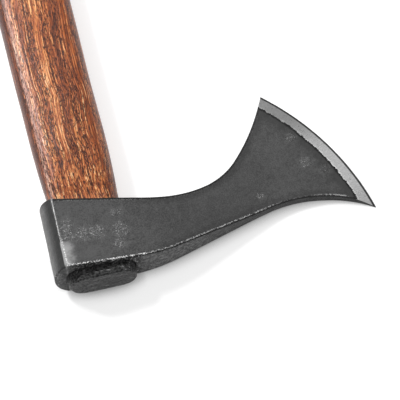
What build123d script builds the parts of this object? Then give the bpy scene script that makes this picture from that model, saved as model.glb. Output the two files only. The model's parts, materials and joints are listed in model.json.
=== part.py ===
from build123d import *
import math
import os

# A single-handed broad axe lying on its side. X runs from the eye to the cutting edge, Y from the
# top of the head down the handle, and Z is up. The origin is on the lower cheek, under the middle
# of the eye. Every function works about the axe's middle plane, and main() lifts the result.

# Eye and tenon: width is along X and depth along Z
tenon_root_width = 36.6
tenon_root_depth = 20.0
tenon_root_x = 0.2
tenon_tip_width = 34.8
tenon_tip_depth = 19.4
tenon_tip_x = 1.25
tenon_corner = 8.0
tenon_crown = 0.5
least_flat = 0.4            # straight run left between two corner rounds on a thin section
tenon_proud = 5.7           # the handle's end stands out of the head by this
tenon_rim = 0.7             # chamfer round the handle's end
eye_clearance = 0.1         # between tenon and eye, all round
eye_mouth_round = 1.2       # radius of the eye's upper rim
poll_wall = 5.4             # behind the eye, at the tenon's root
cheek_wall = 3.6            # each side of the eye's middle, at the tenon's root

# Head seen square to the cheek
head_length = 172.7         # back of the poll to the toe
top_y = -23.5               # top face of the head, over the eye's middle
top_slope = 0.8             # the top face leans out this much towards the blade, in degrees
poll_height = 40.6          # length of the poll along the handle
edge_radius = 145.0         # of the cutting edge's arc
edge_sweep = 35.7           # angle of that arc, from toe to heel, in degrees
toe_angle = 11.3            # direction of the toe from the arc's centre, in degrees from X
toe_drop = 3.0              # the toe lies this far inside the top face

# Head's upper side, from the eye to the toe
top_land = 0.3              # flat past the eye's rounded rim
neck_bend_radius = 95.0
toe_flare_length = 55.1     # length along X of the arc that runs out to the toe
toe_flare_rise = 11.1       # that arc starts this far inside the toe's line

# Head's lower side, from the poll to the heel
foot_slope = 8.8            # the eye's lower face leans this much, in degrees
foot_land = 0.0             # flat past the eye
beard_easy_radius = 62.0
beard_easy_turn = 15.0      # degrees
beard_tight_radius = 41.0
beard_tight_turn = 32.0     # degrees
beard_sweep_radius = 124.5  # of the last arc, which ends at the heel
beard_sweep_turn = 19.9     # degrees

# Head seen along the handle
poll_bow_radius = 26.0      # the poll's back is bowed
poll_bow_half = 8.5         # half height of that bow
poll_round_length = 6.8     # from the poll's back to the ridge where the flat cheek starts
cheek_taper = 7.0           # of each cheek, from that ridge to the blade, in degrees
blade_thickness = 5.5
blade_blend_radius = 150.0
bevel_angle = 19.6          # of each ground side of the edge, in degrees
edge_thickness = 0.5

# Handle below the head
handle_length = 480.0       # from end to end
root_gap = 1.3              # from the eye's lowest rim to the start of the handle's swell
swell_length = 24.0         # from there to the full width
handle_lean = 1.3           # away from the blade, in degrees
handle_width = 39.5         # just below the head
handle_depth = 25.0
belly_width = 41.2          # at the end of the belly, which widens evenly
belly_length = 110.0
grip_width = 35.0
grip_depth = 23.5
grip_length = 150.0         # of the slimmer grip
butt_width = 41.0
butt_depth = 25.5
butt_length = 34.0          # the butt's swell
handle_corner = 9.5
handle_crown = 1.6
butt_round = 5.0

# Wedges
wood_wedge_thick = 4.4      # at the handle's end
wood_wedge_thin = 1.2       # at its tip
wood_wedge_length = 34.0
kerf_spare = 3.0            # the saw cut goes on past the wedge's tip
steel_wedge_width = 15.0    # along Z
steel_wedge_thick = 2.6     # at the handle's end
steel_wedge_thin = 0.7
steel_wedge_length = 20.0
steel_wedge_x = 3.0         # from the tenon's middle, towards the blade
wedge_clearance = 0.05      # round each wedge

# What follows from them
middle_half = tenon_root_depth / 2 + eye_clearance + cheek_wall     # half thickness at x = 0
poll_x = tenon_root_x - tenon_root_width / 2 - eye_clearance - poll_wall
eye_front_x = tenon_root_x + tenon_root_width / 2 + eye_clearance
cheek_ridge_x = poll_x + poll_round_length
neck_bend_x = tenon_tip_x + tenon_tip_width / 2 + eye_clearance + eye_mouth_round + top_land
poll_top_y = top_y - poll_x * math.tan(math.radians(top_slope))
root_y = poll_top_y + poll_height + root_gap
tip_y = top_y - tenon_proud
butt_y = tip_y + handle_length
toe = Vector(poll_x + head_length, top_y + toe_drop)
edge_centre = toe - Vector(edge_radius, 0).rotate(Axis.Z, toe_angle)


def heading(degrees):
    return Vector(1, 0).rotate(Axis.Z, degrees)


def edge_point(angle):
    return edge_centre + heading(angle) * edge_radius


def head_upper_side():
    """Top face, neck and toe flare, from the poll to the toe."""
    flare_start = toe + Vector(-toe_flare_length, toe_flare_rise)
    run = (neck_bend_x - poll_x) / heading(top_slope).X
    top = Line((poll_x, poll_top_y), Vector(poll_x, poll_top_y) + heading(-top_slope) * run)
    to_flare = flare_start - (top @ 1 + heading(90 - top_slope) * neck_bend_radius)
    slope = 90 + math.degrees(math.atan2(to_flare.Y, to_flare.X)
                              - math.acos(neck_bend_radius / to_flare.length))
    bend = JernArc(top @ 1, top % 1, neck_bend_radius, slope + top_slope)
    neck = Line(bend @ 1, flare_start)
    flare = TangentArc(neck @ 1, toe, tangent=neck % 1)
    return [top, bend, neck, flare]


def head_lower_side():
    """From the heel back round the beard's hollow, then along the neck to the poll."""
    heel_heading = beard_easy_turn + beard_tight_turn + beard_sweep_turn
    sweep = JernArc(edge_point(toe_angle + edge_sweep), -heading(heel_heading),
                    beard_sweep_radius, -beard_sweep_turn)
    tight = JernArc(sweep @ 1, sweep % 1, beard_tight_radius, -beard_tight_turn)
    easy = JernArc(tight @ 1, tight % 1, beard_easy_radius, -beard_easy_turn)
    poll_foot = Vector(poll_x, poll_top_y + poll_height)
    foot_run = (eye_front_x + foot_land - poll_x) / heading(foot_slope).X
    foot = Line(poll_foot + heading(-foot_slope) * foot_run, poll_foot)
    neck = Spline(easy @ 1, foot @ 0, tangents=[easy % 1, foot % 0])
    return [sweep, tight, easy, neck, foot]


def head_plan():
    """The head's outline, seen square to the cheek."""
    poll = Line((poll_x, poll_top_y), (poll_x, poll_top_y + poll_height))
    edge = ThreePointArc(*[edge_point(toe_angle + edge_sweep * share) for share in (0, 0.5, 1)])
    return Face(Wire(head_upper_side() + [edge] + head_lower_side() + [poll]))


def half_thickness(x):
    """Of the tapering part of the head, from the poll's ridge to the blade."""
    return middle_half - x * math.tan(math.radians(cheek_taper))


def head_profile():
    """The head's outline, seen along the handle: a bowed poll, tapering cheeks and a thin blade."""
    blade = blade_thickness / 2
    bow_centre_x = poll_x + poll_bow_radius
    bow_x = bow_centre_x - math.sqrt(poll_bow_radius**2 - poll_bow_half**2)
    corner = TangentArc((bow_x, poll_bow_half), (cheek_ridge_x, half_thickness(cheek_ridge_x)),
                        tangent=(poll_bow_half, bow_centre_x - bow_x))
    taper = heading(-cheek_taper)
    fall = (corner @ 1).Y - blade - blade_blend_radius * (1 - taper.X)
    cheek = Line(corner @ 1, corner @ 1 + taper * (fall / -taper.Y))
    blend = JernArc(cheek @ 1, cheek % 1, blade_blend_radius, cheek_taper)
    side = Line(blend @ 1, (edge_centre.X + edge_radius, blade))
    upper = [corner, cheek, blend, side]
    lower = [line.mirror(Plane.XZ) for line in upper]
    back = ThreePointArc((bow_x, poll_bow_half), (poll_x, 0), (bow_x, -poll_bow_half))
    front = Line(side @ 1, (edge_centre.X + edge_radius, -blade))
    return Face(Wire(upper + lower + [back, front]))


def grinding_cone():
    """Double cone about the edge arc's centre; its two sides are the ground bevel."""
    rim = edge_thickness / 2
    rise = rim + edge_radius * math.tan(math.radians(bevel_angle))
    half = Face(Wire.make_polygon([(0, -rise), (edge_radius, -rim), (edge_radius, rim), (0, rise)]))
    return Pos(edge_centre.X, edge_centre.Y) * revolve(Plane.XZ * half, Axis.Z)


def oval(width, depth, corner, crown):
    """A rounded rectangle whose four sides are crowned a little."""
    x, y = width / 2, depth / 2
    corner = min(corner, min(x, y) - crown - least_flat / 2)
    corners = [(x - crown, y - crown), (crown - x, y - crown),
               (crown - x, crown - y), (x - crown, crown - y)]
    middles = [(0, y), (-x, 0), (0, -y), (x, 0)]
    sides = [ThreePointArc(corners[i], middles[i], corners[(i + 1) % 4]) for i in range(4)]
    face = Face(Wire(sides))
    return fillet(face.vertices(), corner)


def across(y, x, face):
    """A face drawn at the origin, stood up across the handle at y."""
    return Plane((x, y, 0), x_dir=(1, 0, 0), z_dir=(0, 1, 0)) * face


def tenon_section(y, spare=0):
    """The tenon's section at y, which tapers evenly from its root to its tip."""
    share = (y - root_y) / (tip_y - root_y)
    width = tenon_root_width + (tenon_tip_width - tenon_root_width) * share
    depth = tenon_root_depth + (tenon_tip_depth - tenon_root_depth) * share
    x = tenon_root_x + (tenon_tip_x - tenon_root_x) * share
    return across(y, x, oval(width + 2 * spare, depth + 2 * spare, tenon_corner + spare, tenon_crown))


def axe_head():
    """The forged head, with its eye bored through and the eye's upper rim rounded."""
    plan = extrude(head_plan(), 2 * middle_half, both=True)
    profile = extrude(Plane.XZ * head_profile(), head_length, both=True)
    eye = loft([tenon_section(root_y, eye_clearance), tenon_section(tip_y, eye_clearance)])
    head = (plan & profile & grinding_cone()) - eye
    rim = head.faces().filter_by(Face.inner_wires).sort_by(Axis.Y)[0].inner_wires()[0].edges()
    return fillet(rim, eye_mouth_round)


def tapered(x, length, at_end, at_tip):
    """A wedge driven in at the handle's end, from one (width, depth) down to another."""
    ends = [across(tip_y, x, Rectangle(*at_end)), across(tip_y + length, x, Rectangle(*at_tip))]
    return loft([end.face() for end in ends])


def wood_wedge_blank(spare=0):
    """Wide enough to cross the whole tenon."""
    width = 2 * tenon_root_width
    return tapered(tenon_tip_x, wood_wedge_length, (width, wood_wedge_thick + 2 * spare),
                   (width, wood_wedge_thin + 2 * spare))


def kerf():
    """The saw cut that takes the wooden wedge and goes on past its tip."""
    slot = Rectangle(2 * tenon_root_width, wood_wedge_thin + 2 * wedge_clearance)
    cut = across(tip_y, tenon_tip_x, slot).face()
    return wood_wedge_blank(wedge_clearance) + extrude(cut, wood_wedge_length + kerf_spare)


def steel_wedge(spare=0):
    """Set across the wooden wedge, with its width along Z."""
    width = steel_wedge_width + 2 * spare
    return tapered(tenon_tip_x + steel_wedge_x, steel_wedge_length + spare,
                   (steel_wedge_thick + 2 * spare, width), (steel_wedge_thin + 2 * spare, width))


def tenon():
    body = loft([tenon_section(root_y), tenon_section(tip_y)])
    rim = body.faces().sort_by(Axis.Y)[0].edges()
    return chamfer(rim, tenon_rim)


def grip():
    """The handle below the head, from the tenon's root to the butt."""
    full_y = root_y + swell_length
    grip_y = butt_y - butt_length - grip_length
    sizes = [(full_y, handle_width, handle_depth),
             (full_y + belly_length / 2, (handle_width + belly_width) / 2, handle_depth),
             (full_y + belly_length, belly_width, handle_depth),
             (grip_y, grip_width, grip_depth),
             (grip_y + grip_length / 2, grip_width, grip_depth),
             (grip_y + grip_length, (grip_width + butt_width) / 2, (grip_depth + butt_depth) / 2),
             (butt_y, butt_width, butt_depth)]
    lean = math.tan(math.radians(handle_lean))
    sections = [across(y, (root_y - y) * lean, oval(width, depth, handle_corner, handle_crown))
                for y, width, depth in sizes]
    body = loft([tenon_section(root_y)] + sections)
    end = body.faces().sort_by(Axis.Y)[-1].edges()
    return fillet(end, butt_round)


def handle():
    return (tenon() + grip()) - kerf() - steel_wedge(wedge_clearance)


def wooden_wedge():
    """Trimmed flush with the tenon's sides and notched for the steel wedge."""
    return (wood_wedge_blank() & tenon()) - steel_wedge(wedge_clearance)


def main():
    os.makedirs("parts", exist_ok=True)
    nodes = {"axe_head": axe_head(), "handle": handle(),
             "wooden_wedge": wooden_wedge(), "steel_wedge": steel_wedge()}
    for name, solid in nodes.items():
        export_step(Pos(0, 0, middle_half) * solid, "parts/" + name + ".step")


main()
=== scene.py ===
import json
import math
from types import SimpleNamespace

import bpy
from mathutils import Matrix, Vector, noise
from mathutils.kdtree import KDTree

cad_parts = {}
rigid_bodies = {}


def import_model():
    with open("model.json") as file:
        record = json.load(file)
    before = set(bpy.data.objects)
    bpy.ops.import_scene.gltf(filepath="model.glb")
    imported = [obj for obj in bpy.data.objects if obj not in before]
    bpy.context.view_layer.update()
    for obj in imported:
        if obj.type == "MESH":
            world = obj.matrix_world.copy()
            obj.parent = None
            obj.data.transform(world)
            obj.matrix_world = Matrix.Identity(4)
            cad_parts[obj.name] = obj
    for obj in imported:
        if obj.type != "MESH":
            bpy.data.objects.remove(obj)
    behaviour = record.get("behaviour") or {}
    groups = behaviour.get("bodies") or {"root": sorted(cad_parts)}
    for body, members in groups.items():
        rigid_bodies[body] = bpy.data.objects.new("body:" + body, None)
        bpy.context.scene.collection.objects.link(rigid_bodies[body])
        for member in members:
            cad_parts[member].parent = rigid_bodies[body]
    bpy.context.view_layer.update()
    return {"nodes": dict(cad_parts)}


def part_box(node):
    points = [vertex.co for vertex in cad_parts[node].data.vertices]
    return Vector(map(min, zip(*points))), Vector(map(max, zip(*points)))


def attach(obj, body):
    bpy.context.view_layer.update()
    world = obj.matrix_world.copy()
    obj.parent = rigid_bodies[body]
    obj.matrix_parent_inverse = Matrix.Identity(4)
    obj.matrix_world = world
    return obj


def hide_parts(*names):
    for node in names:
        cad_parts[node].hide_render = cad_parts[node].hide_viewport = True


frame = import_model()
mm = 0.001

headLow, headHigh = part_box("axe_head")
handleLow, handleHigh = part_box("handle")
middleZ = (headLow.z + headHigh.z) / 2

flatAngle = 0.3         # degrees, under which neighbouring faces count as one
smoothAngle = 35        # degrees, over which an edge is shaded sharp


def pick(piece):
    bpy.ops.object.select_all(action="DESELECT")
    piece.select_set(True)
    bpy.context.view_layer.objects.active = piece


# A merged copy of a CAD node, with its flat faces in one piece again
def copyNode(node, name):
    pick(frame["nodes"][node])
    bpy.ops.object.duplicate()
    piece = bpy.context.object
    bpy.ops.object.parent_clear(type="CLEAR_KEEP_TRANSFORM")
    piece.name = name
    piece.data.name = name
    for key in list(piece.keys()):
        del piece[key]
    piece.data.materials.clear()
    bpy.ops.mesh.customdata_custom_splitnormals_clear()
    bpy.ops.object.mode_set(mode="EDIT")
    bpy.ops.mesh.select_mode(type="EDGE")
    bpy.ops.mesh.select_all(action="SELECT")
    bpy.ops.mesh.remove_doubles(threshold=0.003 * mm)
    bpy.ops.mesh.dissolve_limited(angle_limit=math.radians(flatAngle))
    bpy.ops.object.mode_set(mode="OBJECT")
    return piece


# Points along the piece's sharp edges
def sharpPoints(piece, degrees, spacing):
    pick(piece)
    bpy.ops.object.mode_set(mode="EDIT")
    bpy.ops.mesh.select_all(action="DESELECT")
    bpy.ops.mesh.edges_select_sharp(sharpness=math.radians(degrees))
    bpy.ops.object.mode_set(mode="OBJECT")
    points = []
    for edge in piece.data.edges:
        if edge.select:
            a, b = [piece.data.vertices[i].co for i in edge.vertices]
            count = max(1, round((b - a).length / spacing))
            points += [a.lerp(b, i / count) for i in range(count + 1)]
    return points


# Cuts the piece across an axis at even steps, so that its surface can be shaped finely
def sliceAlong(piece, axis, low, high, step):
    pick(piece)
    bpy.ops.object.mode_set(mode="EDIT")
    normal = [float(i == axis) for i in range(3)]
    count = round((high - low) / step)
    for i in range(1, count):
        place = [0.0, 0.0, 0.0]
        place[axis] = low + (high - low) * i / count
        bpy.ops.mesh.select_all(action="SELECT")
        bpy.ops.mesh.bisect(plane_co=place, plane_no=normal)
    bpy.ops.object.mode_set(mode="OBJECT")


# Keeps each vertex's distance from the nearest sharp edge, in mm
def storeEdgeDistance(piece, points):
    tree = KDTree(len(points))
    for i, point in enumerate(points):
        tree.insert(point, i)
    tree.balance()
    values = [tree.find(v.co)[2] / mm for v in piece.data.vertices]
    layer = piece.data.attributes.new("edgeDistance", "FLOAT", "POINT")
    layer.data.foreach_set("value", values)
    return values


def roundEdges(piece, width, degrees):
    pick(piece)
    bpy.ops.object.modifier_add(type="BEVEL")
    bevel = piece.modifiers[-1]
    bevel.width = width
    bevel.segments = 2
    bevel.limit_method = "ANGLE"
    bevel.angle_limit = math.radians(degrees)
    bevel.use_clamp_overlap = False
    bpy.ops.object.modifier_apply(modifier=bevel.name)


def moveAll(piece, moves):
    for vertex, move in zip(piece.data.vertices, moves):
        vertex.co += move


def smooth(piece):
    pick(piece)
    bpy.ops.object.shade_smooth_by_angle(angle=math.radians(smoothAngle))


# Node helpers: a value that is a socket is linked, anything else is set on the socket
def put(tree, kind, inputs=(), **settings):
    node = tree.nodes.new("ShaderNode" + kind)
    for key, value in settings.items():
        setattr(node, key, value)
    for key, value in dict(inputs).items():
        if isinstance(value, bpy.types.NodeSocket):
            tree.links.new(value, node.inputs[key])
        else:
            node.inputs[key].default_value = value
    return node


def calc(tree, operation, a, b=0.0, clamp=False):
    return put(tree, "Math", {0: a, 1: b}, operation=operation, use_clamp=clamp).outputs[0]


def times(tree, first, *others):
    for other in others:
        first = calc(tree, "MULTIPLY", first, other)
    return first


def plus(tree, first, *others):
    for other in others:
        first = calc(tree, "ADD", first, other)
    return first


def minus(tree, a, b, clamp=False):
    return calc(tree, "SUBTRACT", a, b, clamp)


# Runs smoothly from start to end while the value goes from low to high
def between(tree, value, low, high, start=0.0, end=1.0):
    inputs = {"Value": value, "From Min": low, "From Max": high, "To Min": start, "To Max": end}
    return put(tree, "MapRange", inputs, interpolation_type="SMOOTHSTEP").outputs[0]


# 1 inside a stretch of values, with a soft rise before it and a soft fall after it
def window(tree, value, rise, fall):
    return times(tree, between(tree, value, *rise), between(tree, value, *fall, 1.0, 0.0))


def speckle(tree, place, scale, detail, rough):
    inputs = {"Vector": place, "Scale": scale, "Detail": detail, "Roughness": rough}
    return put(tree, "TexNoise", inputs).outputs["Fac"]


def blend(tree, share, a, b):
    return put(tree, "Mix", {0: share, 6: a, 7: b}, data_type="RGBA").outputs[2]


def grey(value):
    return (value, value, value, 1.0)


# Lays a grey over a colour
def shade(tree, colour, share, value):
    return blend(tree, share, colour, grey(value))


def newMaterial(name):
    material = bpy.data.materials.new(name)
    material.use_nodes = True
    tree = material.node_tree
    shader = tree.nodes["Principled BSDF"]
    coord = tree.nodes.new("ShaderNodeTexCoord").outputs["Object"]
    place = put(tree, "VectorMath", {0: coord, 3: 1 / mm}, operation="SCALE").outputs[0]
    return material, tree, shader, place


def bump(tree, shader, height, distance):
    node = put(tree, "Bump", {"Height": height, "Distance": distance, "Strength": 1.0})
    tree.links.new(node.outputs[0], shader.inputs["Normal"])


view = {
    "azimuth": -13.3,       # degrees, seen from the top of the head and a little from the poll
    "elevation": 65.1,
    "distance": 1.0,
    "lookAt": (0.060, 0.005),
    "lens": 171.0,
    "sensor": 36.0,
}


def addCamera():
    a, e = math.radians(view["azimuth"]), math.radians(view["elevation"])
    back = Vector((math.sin(a) * math.cos(e), -math.cos(a) * math.cos(e), math.sin(e)))
    target = Vector((*view["lookAt"], middleZ))
    camera = bpy.data.objects.new("camera", bpy.data.cameras.new("camera"))
    camera.data.lens = view["lens"]
    camera.data.sensor_width = view["sensor"]
    camera.location = target + back * view["distance"]
    camera.rotation_euler = back.to_track_quat("Z", "Y").to_euler()
    bpy.context.scene.collection.objects.link(camera)
    bpy.context.scene.camera = camera


studio = {
    "zenith": 0.50,         # the room is bright overhead and dim round the walls
    "horizon": 0.30,
    "floorSize": 4.0,
    "floorGrey": 0.45,
    "floorRough": 0.9,
    "floorGlow": 0.70,
    "leastGlow": 0.25,      # share of the glow left where the head meets the floor, a painted contact shadow
    "contact": 9 * mm,      # the glow fades this close to the lower side of the head
    "handleFrom": (-15.0, 5.0),     # mm along the handle, where that fading ends
    "pollFoot": 6.8 * mm,   # from the back of the poll to the line it rests on
    "tip": 5.35,            # the axe lies on its poll, edge and butt, so the floor slopes against it
    "aim": (0.05, 0.02),
    "lights": [             # name, where it comes from, distance, size, power
        ("key", (-0.15, 0.84, 0.52), 1.5, 0.7, 8.0),
        ("side", (-0.50, 0.47, 0.73), 1.5, 0.25, 17.0),
    ],
}


def addRoom():
    world = bpy.data.worlds.new("studio")
    bpy.context.scene.world = world
    world.use_nodes = True
    tree = world.node_tree
    direction = tree.nodes.new("ShaderNodeTexCoord").outputs["Generated"]
    up = put(tree, "SeparateXYZ", {0: direction}).outputs[2]
    bright = between(tree, up, 0.0, 0.9, studio["horizon"], studio["zenith"])
    tree.nodes["Background"].inputs["Color"].default_value = grey(1.0)
    tree.links.new(bright, tree.nodes["Background"].inputs["Strength"])


def addFloor():
    bpy.ops.object.select_all(action="DESELECT")
    foot = Vector((headLow.x + studio["pollFoot"], 0, headLow.z))
    slope = (0, -math.radians(studio["tip"]), 0)
    bpy.ops.mesh.primitive_plane_add(size=studio["floorSize"], location=foot, rotation=slope)
    floor = bpy.context.object
    floor.name = "floor"
    material, tree, shader, place = newMaterial("floor")
    shader.inputs["Base Color"].default_value = grey(studio["floorGrey"])
    shader.inputs["Roughness"].default_value = studio["floorRough"]
    shader.inputs["Emission Color"].default_value = grey(1.0)
    # Painted contact shadow: the floor's glow dims close to the lower side of the head, but not along the
    # handle
    openness = put(tree, "AmbientOcclusion", {"Distance": studio["contact"]}, samples=8).outputs["AO"]
    y = put(tree, "SeparateXYZ", {0: place}).outputs[1]
    openness = calc(tree, "MAXIMUM", openness, between(tree, y, *studio["handleFrom"]))
    dimmest = studio["leastGlow"] * studio["floorGlow"]
    glow = between(tree, openness, 0.30, 0.95, dimmest, studio["floorGlow"])
    tree.links.new(glow, shader.inputs["Emission Strength"])
    floor.data.materials.append(material)


def addLights():
    aim = Vector((*studio["aim"], middleZ))
    for name, comesFrom, distance, size, power in studio["lights"]:
        direction = Vector(comesFrom).normalized()
        bpy.ops.object.light_add(type="AREA", location=aim + direction * distance)
        light = bpy.context.object
        light.name = name
        light.data.energy = power
        light.data.size = size
        light.rotation_euler = direction.to_track_quat("Z", "Y").to_euler()


addCamera()
addRoom()
addFloor()
addLights()
bpy.context.scene.view_settings.view_transform = "Standard"
print("camera and studio done")


headShape = {
    "slice": 1.6 * mm,
    "sharpAngle": 12,           # degrees, over which an edge wears
    "pointSpacing": 0.25 * mm,
    "edgeRound": 0.2 * mm,
    "roundAngle": 15,           # degrees, over which an edge is rounded
    "pollRound": 6.8 * mm,      # from the back of the poll to its ridges
    "ridgeRound": 0.9 * mm,
    "unevenness": 0.10 * mm,    # hammered surface
    "unevenLength": 7 * mm,
    "calmRim": 3.0,             # mm from an edge, over which the hammering dies away
    "nick": 0.12 * mm,          # wear along the edges
    "nickLength": 1.7 * mm,
    "nickReach": 0.8,           # mm from an edge
    "nickRarity": 0.25,
}


# The two long ridges between the poll and the cheeks are rounded over
def roundPollRidge(piece):
    ridgeX = headLow.x + headShape["pollRound"]
    for edge in piece.data.edges:
        ends = [piece.data.vertices[i].co for i in edge.vertices]
        edge.select = all(abs(co.x - ridgeX) < 0.05 * mm for co in ends)
    pick(piece)
    bpy.ops.object.mode_set(mode="EDIT")
    bpy.ops.mesh.bevel(offset=headShape["ridgeRound"], segments=4)
    bpy.ops.object.mode_set(mode="OBJECT")


def buildHead():
    piece = copyNode("axe_head", "axeHead")
    points = sharpPoints(piece, headShape["sharpAngle"], headShape["pointSpacing"])
    roundPollRidge(piece)
    roundEdges(piece, headShape["edgeRound"], headShape["roundAngle"])
    sliceAlong(piece, 0, headLow.x, headHigh.x, headShape["slice"])
    sliceAlong(piece, 1, headLow.y, headHigh.y, headShape["slice"])
    sliceAlong(piece, 2, headLow.z, headHigh.z, 2 * headShape["slice"])
    gaps = storeEdgeDistance(piece, points)
    moves = []
    for vertex, gap in zip(piece.data.vertices, gaps):
        wave = noise.fractal(vertex.co / headShape["unevenLength"], 0.5, 2.0, 3)
        chip = noise.noise(vertex.co / headShape["nickLength"]) - headShape["nickRarity"]
        outward = headShape["unevenness"] * wave * min(1, gap / headShape["calmRim"])
        outward -= headShape["nick"] * max(0, chip) * max(0, 1 - gap / headShape["nickReach"])
        moves.append(vertex.normal * outward)
    moveAll(piece, moves)
    smooth(piece)
    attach(piece, "root")
    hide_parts("axe_head")
    return piece


# Scuffed places on the cheeks: middle, half width across, half length (all mm) and strength
scuffs = [
    ((-2, -6), 17, 7, 0.95),
    ((15, -7), 7, 7, 1.0),
    ((13, -15), 7, 5, 0.9),
    ((14.8, 3), 5, 3.5, 1.0),
    ((-12, -3), 6, 12, 0.95),
    ((2, -17), 16, 4, 0.4),
    ((119, 12.6), 7, 5, 0.85),
    ((115.5, 28.6), 5, 5, 0.85),
    ((91, -1), 4, 3, 0.9),
    ((128, 6.7), 6, 5, 0.8),
]

# Greys from 0 to 1, radii in mm from the middle of the cutting edge's arc
steelLook = {
    "dark": 0.034,              # blackened surface
    "light": 0.080,
    "smear": 0.13,
    "speck": 0.42,
    "wornLine": 1.0,
    "edgeShade": 0.003,             # painted shade along every edge
    "sideDark": 0.002,          # narrow sides
    "sideLight": 0.13,
    "neckSide": 0.010,
    "pit": 0.006,
    "pitDepth": 9.0,
    "bruise": 0.45,
    # painted shade beside the poll ridges
    "pollShade": 0.012,
    "rubbedAndSheen": 0.80,             # poll ridges, worn metal and painted highlight, and a painted highlight patch
    "bevelGrey": 0.66,
    "bevelStreak": 0.14,        # share that the scratches lighten or darken it by
    "burr": 1.0,
    "bevelEnds": 0.16,          # towards the heel, and faintly towards the toe
    "keen": 0.012,
    "shadow": 0.003,            # on the blade, just behind the bevel
    "rough": 0.44,
    "specular": 0.35,
    "relief": 0.12 * mm,
    "bevelRadius": 137.9,
    "keenRadius": (143.5, 143.85),
    "edgeRadius": 145.0,
    "toeAngle": 11.3,
}


# What the marks on the steel are placed by: coordinates and distances in mm, and shared noises
def steelPlaces(tree, place):
    x, y, z = put(tree, "SeparateXYZ", {0: place}).outputs
    normal = tree.nodes.new("ShaderNodeTexCoord").outputs["Normal"]
    facing = calc(tree, "ABSOLUTE", put(tree, "SeparateXYZ", {0: normal}).outputs[2])
    cheek = between(tree, facing, 0.75, 0.9)        # 1 on the cheeks and 0 on the narrow sides
    toe = max((v.co for v in frame["nodes"]["axe_head"].data.vertices), key=lambda co: co.x) / mm
    turn = math.radians(steelLook["toeAngle"])
    dx = minus(tree, x, toe.x - steelLook["edgeRadius"] * math.cos(turn))
    dy = minus(tree, y, toe.y - steelLook["edgeRadius"] * math.sin(turn))
    return SimpleNamespace(
        place=place, x=x, y=y, z=z, facing=facing, cheek=cheek,
        side=minus(tree, 1.0, cheek),
        gap=put(tree, "Attribute", attribute_name="edgeDistance").outputs["Fac"],
        radius=calc(tree, "SQRT", plus(tree, times(tree, dx, dx), times(tree, dy, dy))),
        turn=calc(tree, "ARCTAN2", dy, dx),
        inward=minus(tree, x, (headLow.x + headShape["pollRound"]) / mm),
        fine=speckle(tree, place, 1.5, 5, 0.75),
        middling=speckle(tree, place, 0.35, 4, 0.6),
        broad=speckle(tree, place, 0.06, 3, 0.5),
        rag=speckle(tree, place, 1.5, 4, 0.75))


# Blackened surface, greyer about the eye and darker towards the edges and the bevel
def blackenedColour(tree, at):
    tone = times(tree, between(tree, at.fine, 0.40, 0.60, -0.25, 0.55),
                 between(tree, at.x, 15.0, 60.0, 1.2, 0.7))
    tone = plus(tree, tone, 0.15, between(tree, at.broad, 0.38, 0.62, 0.0, 0.20))
    cloud = times(tree, between(tree, at.middling, 0.40, 0.62, 0.0, 0.25),
                  between(tree, at.x, 20.0, 60.0, 1.0, 0.4))
    tone = plus(tree, tone, cloud, between(tree, at.x, 5.0, 35.0, 0.28, 0.04))
    nearBevel = times(tree, between(tree, at.radius, 128.0, 137.5, 0.0, 0.50),
                      between(tree, at.x, 60.0, 80.0))
    nearEdge = times(tree, between(tree, at.gap, 0.0, 6.0, 0.62, 0.0),
                     between(tree, at.x, 15.0, 40.0, 0.3, 1.0))
    tone = minus(tree, minus(tree, tone, nearBevel), nearEdge, clamp=True)
    return blend(tree, tone, grey(steelLook["dark"]), grey(steelLook["light"]))


# Light specks and faint smears in the scuffed places
def addScuffs(tree, at, colour):
    region = 0.0
    for (centreX, centreY), halfX, halfY, strength in scuffs:
        dx = calc(tree, "DIVIDE", minus(tree, at.x, centreX), halfX)
        dy = calc(tree, "DIVIDE", minus(tree, at.y, centreY), halfY)
        spot = plus(tree, times(tree, dx, dx), times(tree, dy, dy))
        region = calc(tree, "MAXIMUM", region, between(tree, spot, 0.0, 1.3, strength, 0.0))
    smear = times(tree, region, between(tree, at.middling, 0.42, 0.68), 0.35)
    colour = shade(tree, colour, smear, steelLook["smear"])
    grain = speckle(tree, at.place, 1.25, 5, 0.85)
    over = minus(tree, grain, between(tree, region, 0.0, 1.0, 0.80, 0.545))
    specks = put(tree, "MapRange", {"Value": over, "From Max": 0.07}).outputs[0]
    return shade(tree, colour, times(tree, specks, at.cheek), steelLook["speck"])


# A broken light line just inside the top edge of each cheek, and painted shade along all edges
def addEdgeWearAndShade(tree, at, colour):
    line = window(tree, at.gap, (0.55, 0.8), (1.3, 1.7))
    worn = times(tree, line, between(tree, at.y, -10.0, -6.0, 1.0, 0.06),
                 between(tree, at.rag, 0.50, 0.55), between(tree, at.x, 22.0, 32.0, 1.0, 0.4),
                 between(tree, at.radius, 133.0, 135.0, 1.0, 0.0), at.cheek)
    colour = shade(tree, colour, worn, steelLook["wornLine"])
    # Painted shade: a dark ragged line along the edges
    ragged = plus(tree, at.gap, between(tree, at.rag, 0.35, 0.65, -0.3, 0.3))
    ragged = minus(tree, ragged, between(tree, at.y, -12.0, 5.0, 0.0, 0.45))
    return shade(tree, colour, between(tree, ragged, 0.45, 0.95, 0.95, 0.0), steelLook["edgeShade"])


# The narrow sides are mottled ahead of the poll, and black towards the blade
def addSideMottle(tree, at, colour):
    mottle = between(tree, speckle(tree, at.place, 0.5, 4, 0.75), 0.42, 0.58)
    ahead = times(tree, at.side, between(tree, at.inward, -1.0, 2.0, 0.15, 0.8))
    mottled = blend(tree, mottle, grey(steelLook["sideDark"]), grey(steelLook["sideLight"]))
    colour = blend(tree, ahead, colour, mottled)
    black = times(tree, between(tree, at.x, 45.0, 80.0, 0.0, 0.85), at.side)
    return shade(tree, colour, black, steelLook["neckSide"]), times(tree, mottle, ahead)


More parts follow.
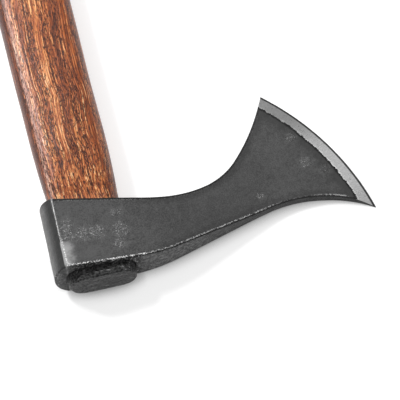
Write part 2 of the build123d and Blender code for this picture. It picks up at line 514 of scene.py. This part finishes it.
# The flat round the eye is pitted black, with bright bruises
def addPits(tree, at, colour):
    eyeFlat = times(tree, between(tree, at.y, -23.0, -22.7, 1.0, 0.0),
                    between(tree, at.x, 20.0, 24.0, 1.0, 0.0))
    pit = times(tree, between(tree, speckle(tree, at.place, 0.8, 4, 0.7), 0.48, 0.58), eyeFlat)
    colour = shade(tree, colour, times(tree, pit, 0.9), steelLook["pit"])
    bruise = times(tree, between(tree, speckle(tree, at.place, 0.9, 3, 0.6), 0.58, 0.64), eyeFlat)
    return shade(tree, colour, bruise, steelLook["bruise"]), pit


# The poll has painted shade beside its ridges; the ridges are rubbed bright, partly worn metal and partly
# painted highlight, with a broad painted highlight patch near the top
def addPollWearShadeAndSheen(tree, at, colour):
    # Painted shade beside the ridges
    black = times(tree, window(tree, at.inward, (-6.5, -2.2), (-0.6, 0.0)), 0.85)
    colour = shade(tree, colour, black, steelLook["pollShade"])
    # The ridges: partly worn metal, partly painted highlight
    swayed = plus(tree, at.inward, between(tree, at.rag, 0.3, 0.7, -0.7, 0.7))
    ridge = times(tree, between(tree, swayed, 0.45, 1.0, 1.0, 0.0),
                  between(tree, at.inward, 0.0, 0.35), between(tree, at.rag, 0.42, 0.56, 0.1, 1.0),
                  between(tree, at.y, -16.0, -8.0, 0.5, 1.0))
    # A broad painted highlight patch near the top
    frayed = plus(tree, swayed, between(tree, at.middling, 0.3, 0.7, -1.3, 1.3))
    sheenPatch = times(tree, between(tree, frayed, 0.8, 7.5, 0.38, 0.0),
                  window(tree, at.y, (-24.0, -21.0), (-10.5, -8.0)),
                  between(tree, at.inward, -0.5, 0.0))
    rubbedAndSheen = calc(tree, "MAXIMUM", ridge, sheenPatch)
    return shade(tree, colour, rubbedAndSheen, steelLook["rubbedAndSheen"]), rubbedAndSheen


# Ground bevel inside an uneven line, with fine scratches across it and a burr behind it
def addBevel(tree, at, colour):
    wander = plus(tree, between(tree, speckle(tree, at.place, 0.22, 3, 0.6), 0.3, 0.7, -0.4, 0.4),
                  between(tree, at.rag, 0.3, 0.7, -0.35, 0.35))
    reach = minus(tree, plus(tree, at.radius, wander), steelLook["bevelRadius"])
    ground = times(tree, between(tree, reach, -0.05, 0.10), between(tree, at.facing, 0.25, 0.5))
    around = times(tree, at.turn, steelLook["edgeRadius"], 2.2)
    across = times(tree, at.radius, 0.12)
    scratchPlace = put(tree, "CombineXYZ", {0: around, 1: across, 2: at.z}).outputs[0]
    scratch = speckle(tree, scratchPlace, 1.0, 4, 0.6)
    bright = blend(tree, between(tree, scratch, 0.3, 0.7),
                   grey(steelLook["bevelGrey"] * (1 - steelLook["bevelStreak"])),
                   grey(steelLook["bevelGrey"] * (1 + steelLook["bevelStreak"])))
    burr = times(tree, between(tree, reach, 0.35, 0.7, 1.0, 0.0), ground,
                 between(tree, at.middling, 0.38, 0.55, 0.4, 1.0))
    bright = shade(tree, bright, burr, steelLook["burr"])
    bright = shade(tree, bright, between(tree, at.y, 15.0, 42.0, 0.0, 0.65), steelLook["bevelEnds"])
    bright = shade(tree, bright, between(tree, at.y, -18.0, 0.0, 0.2, 0.0), steelLook["bevelEnds"])
    colour = blend(tree, ground, colour, bright)
    keen = between(tree, at.radius, *steelLook["keenRadius"])
    colour = shade(tree, colour, times(tree, keen, 0.97), steelLook["keen"])
    behind = times(tree, window(tree, reach, (-1.3, -0.6), (-0.05, 0.05)), 0.9)
    return shade(tree, colour, behind, steelLook["shadow"]), ground, keen, scratch


def steelMaterial(piece):
    material, tree, shader, place = newMaterial("blackenedSteel")
    at = steelPlaces(tree, place)
    colour = addEdgeWearAndShade(tree, at, addScuffs(tree, at, blackenedColour(tree, at)))
    colour, mottle = addSideMottle(tree, at, colour)
    colour, pit = addPits(tree, at, colour)
    colour, rubbedAndSheen = addPollWearShadeAndSheen(tree, at, colour)
    colour, ground, keen, scratch = addBevel(tree, at, colour)
    tree.links.new(colour, shader.inputs["Base Color"])

    metal = calc(tree, "MULTIPLY", minus(tree, ground, keen), 0.6, clamp=True)
    metal = calc(tree, "MAXIMUM", metal, times(tree, rubbedAndSheen, 0.3))
    tree.links.new(metal, shader.inputs["Metallic"])
    shader.inputs["Specular IOR Level"].default_value = steelLook["specular"]
    rough = between(tree, at.middling, 0.3, 0.7, steelLook["rough"] - 0.07, steelLook["rough"] + 0.07)
    rough = plus(tree, rough, between(tree, at.fine, 0.3, 0.7, -0.06, 0.06))
    rough = minus(tree, rough, times(tree, ground, 0.10))
    tree.links.new(rough, shader.inputs["Roughness"])

    height = plus(tree, times(tree, at.fine, 0.8), times(tree, at.middling, 1.4))
    height = minus(tree, height, times(tree, pit, steelLook["pitDepth"]))
    height = times(tree, height, between(tree, ground, 0.0, 1.0, 1.0, 0.12))
    height = plus(tree, height, times(tree, scratch, ground, 0.12), times(tree, mottle, 1.8))
    bump(tree, shader, height, steelLook["relief"])
    piece.data.materials.append(material)


axeHead = buildHead()
steelMaterial(axeHead)
print("axe head done", len(axeHead.data.polygons))


handleShape = {
    "slice": 3.0 * mm,
    "unevenness": 0.30 * mm,     # carved by hand
    "unevenSide": 14 * mm,
    "unevenLength": 34 * mm,
    "carvedFrom": 0.45,          # share of the head's reach down the handle
    "carvedOver": 15 * mm,       # the carving comes in over this length
}


def buildHandle():
    piece = copyNode("handle", "handleWood")
    sliceAlong(piece, 1, handleLow.y, handleHigh.y, handleShape["slice"])
    sliceAlong(piece, 0, handleLow.x, handleHigh.x, handleShape["slice"])
    start = headHigh.y * handleShape["carvedFrom"]
    moves = []
    for vertex in piece.data.vertices:
        co = vertex.co
        at = Vector((co.x / handleShape["unevenSide"], co.y / handleShape["unevenLength"],
                     co.z / handleShape["unevenSide"]))
        share = min(1, max(0, (co.y - start) / handleShape["carvedOver"]))
        moves.append(vertex.normal * handleShape["unevenness"] * noise.noise(at) * share)
    moveAll(piece, moves)
    smooth(piece)
    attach(piece, "root")
    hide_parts("handle")
    return piece


woodLook = {
    "stops": [
        (0.00, (0.080, 0.018, 0.007)),
        (0.28, (0.200, 0.048, 0.016)),
        (0.50, (0.380, 0.092, 0.026)),
        (0.70, (0.580, 0.180, 0.052)),
        (0.88, (0.840, 0.380, 0.135)),
        (1.00, (0.950, 0.580, 0.300)),
    ],
    # pale grey of the painted highlight on the handle's shoulder
    "sheenColour": (0.62, 0.52, 0.50),
    "pore": (0.040, 0.010, 0.005),
    "sway": 2.0,                # mm that the grain wanders to each side
    "lean": 0.0227,             # sideways lean of the handle over each mm along it
    "rough": 0.32,
    "specular": 0.42,
    "relief": 0.16 * mm,
}


# Coordinates squeezed along the grain, so that noise runs out into streaks
def grainPlace(tree, x, y, z, stretch):
    return put(tree, "CombineXYZ", {0: x, 1: times(tree, y, stretch), 2: z}).outputs[0]


def stainRamp(tree, tone):
    ramp = put(tree, "ValToRGB", {"Fac": tone})
    stops = ramp.color_ramp.elements
    while len(stops) < len(woodLook["stops"]):
        stops.new(0.5)
    for stop, (position, colour) in zip(stops, woodLook["stops"]):
        stop.position = position
        stop.color = (*colour, 1.0)
    return ramp.outputs[0]


def woodMaterial(piece):
    material, tree, shader, place = newMaterial("stainedAsh")
    x, y, z = put(tree, "SeparateXYZ", {0: place}).outputs
    swayPlace = put(tree, "VectorMath", {0: place, 1: (0.3, 1.0, 0.3)}, operation="MULTIPLY").outputs[0]
    wander = speckle(tree, swayPlace, 0.014, 2, 0.5)
    swayed = plus(tree, x, between(tree, wander, 0.3, 0.7, -woodLook["sway"], woodLook["sway"]))

    def grain(stretch, scale, detail, rough):
        return speckle(tree, grainPlace(tree, swayed, y, z, stretch), scale, detail, rough)

    streak = grain(0.014, 1.15, 3, 0.6)
    hair = grain(0.03, 2.2, 4, 0.7)
    flame = between(tree, grain(0.02, 1.5, 2, 0.5), 0.56, 0.68)
    tone = plus(tree, between(tree, streak, 0.36, 0.64, 0.06, 0.50),
                between(tree, hair, 0.38, 0.62, 0.0, 0.42),
                between(tree, grain(0.10, 0.10, 3, 0.5), 0.36, 0.64, -0.04, 0.10),
                times(tree, flame, 0.34))

    # Painted shade: darker on the poll's side and a little on the blade's side
    leaned = plus(tree, x, times(tree, y, woodLook["lean"]))
    tone = plus(tree, tone, between(tree, leaned, -19.0, -14.0, -0.52, 0.05))
    tone = minus(tree, tone, between(tree, leaned, 0.0, 15.0, 0.0, 0.17), clamp=True)

    # Painted highlight: a pale sheen along the shoulder on the poll's side
    shoulderSheen = times(tree, window(tree, leaned, (-16.8, -15.4), (-15.2, -13.2)),
                     between(tree, hair, 0.35, 0.6, 0.15, 0.55))
    colour = blend(tree, shoulderSheen, stainRamp(tree, tone), (*woodLook["sheenColour"], 1.0))

    # Open pores, thickest in the porous bands of the growth rings and near the head
    band = between(tree, grain(0.012, 0.32, 2, 0.5), 0.35, 0.65, 0.0, 0.09)
    nearHead = between(tree, y, 25.0, 60.0, 0.015, 0.0)
    pored = between(tree, plus(tree, grain(0.18, 2.0, 3, 0.75), nearHead, band), 0.565, 0.615)
    colour = blend(tree, times(tree, pored, 0.95), colour, (*woodLook["pore"], 1.0))
    tree.links.new(colour, shader.inputs["Base Color"])

    rough = between(tree, hair, 0.3, 0.7, woodLook["rough"] + 0.10, woodLook["rough"] - 0.06)
    tree.links.new(rough, shader.inputs["Roughness"])
    shader.inputs["Specular IOR Level"].default_value = woodLook["specular"]
    height = minus(tree, times(tree, hair, 0.6), times(tree, pored, 0.5))
    bump(tree, shader, plus(tree, height, times(tree, streak, 0.3)), woodLook["relief"])
    piece.data.materials.append(material)


paintLook = {
    "end": -12.0 * mm,      # the paint on the handle's end stops inside the eye
    "dark": 0.006,
    "light": 0.075,
    "scraped": 0.26,
    "rough": 0.4,
    "specular": 0.08,
    "relief": 0.15 * mm,
}


# Black paint, blotchy and scraped in streaks
def paintMaterial():
    material, tree, shader, place = newMaterial("blackPaint")
    blotch = speckle(tree, place, 0.9, 4, 0.7)
    colour = blend(tree, between(tree, blotch, 0.38, 0.62), grey(paintLook["dark"]), grey(paintLook["light"]))
    squeezed = put(tree, "VectorMath", {0: place, 1: (0.22, 1.0, 2.4)}, operation="MULTIPLY").outputs[0]
    scraped = between(tree, speckle(tree, squeezed, 0.8, 3, 0.7), 0.57, 0.66)
    tree.links.new(shade(tree, colour, scraped, paintLook["scraped"]), shader.inputs["Base Color"])
    shader.inputs["Roughness"].default_value = paintLook["rough"]
    shader.inputs["Specular IOR Level"].default_value = paintLook["specular"]
    bump(tree, shader, plus(tree, blotch, scraped), paintLook["relief"])
    return material


handleWood = buildHandle()
woodMaterial(handleWood)
blackPaint = paintMaterial()
handleWood.data.materials.append(blackPaint)
for face in handleWood.data.polygons:
    if face.center.y < paintLook["end"]:
        face.material_index = 1
print("handle done", len(handleWood.data.polygons))

# The wedges are painted over with the handle's end
for node in ("wooden_wedge", "steel_wedge"):
    wedge = frame["nodes"][node]
    wedge.data.materials.clear()
    wedge.data.materials.append(blackPaint)
print("wedges done")
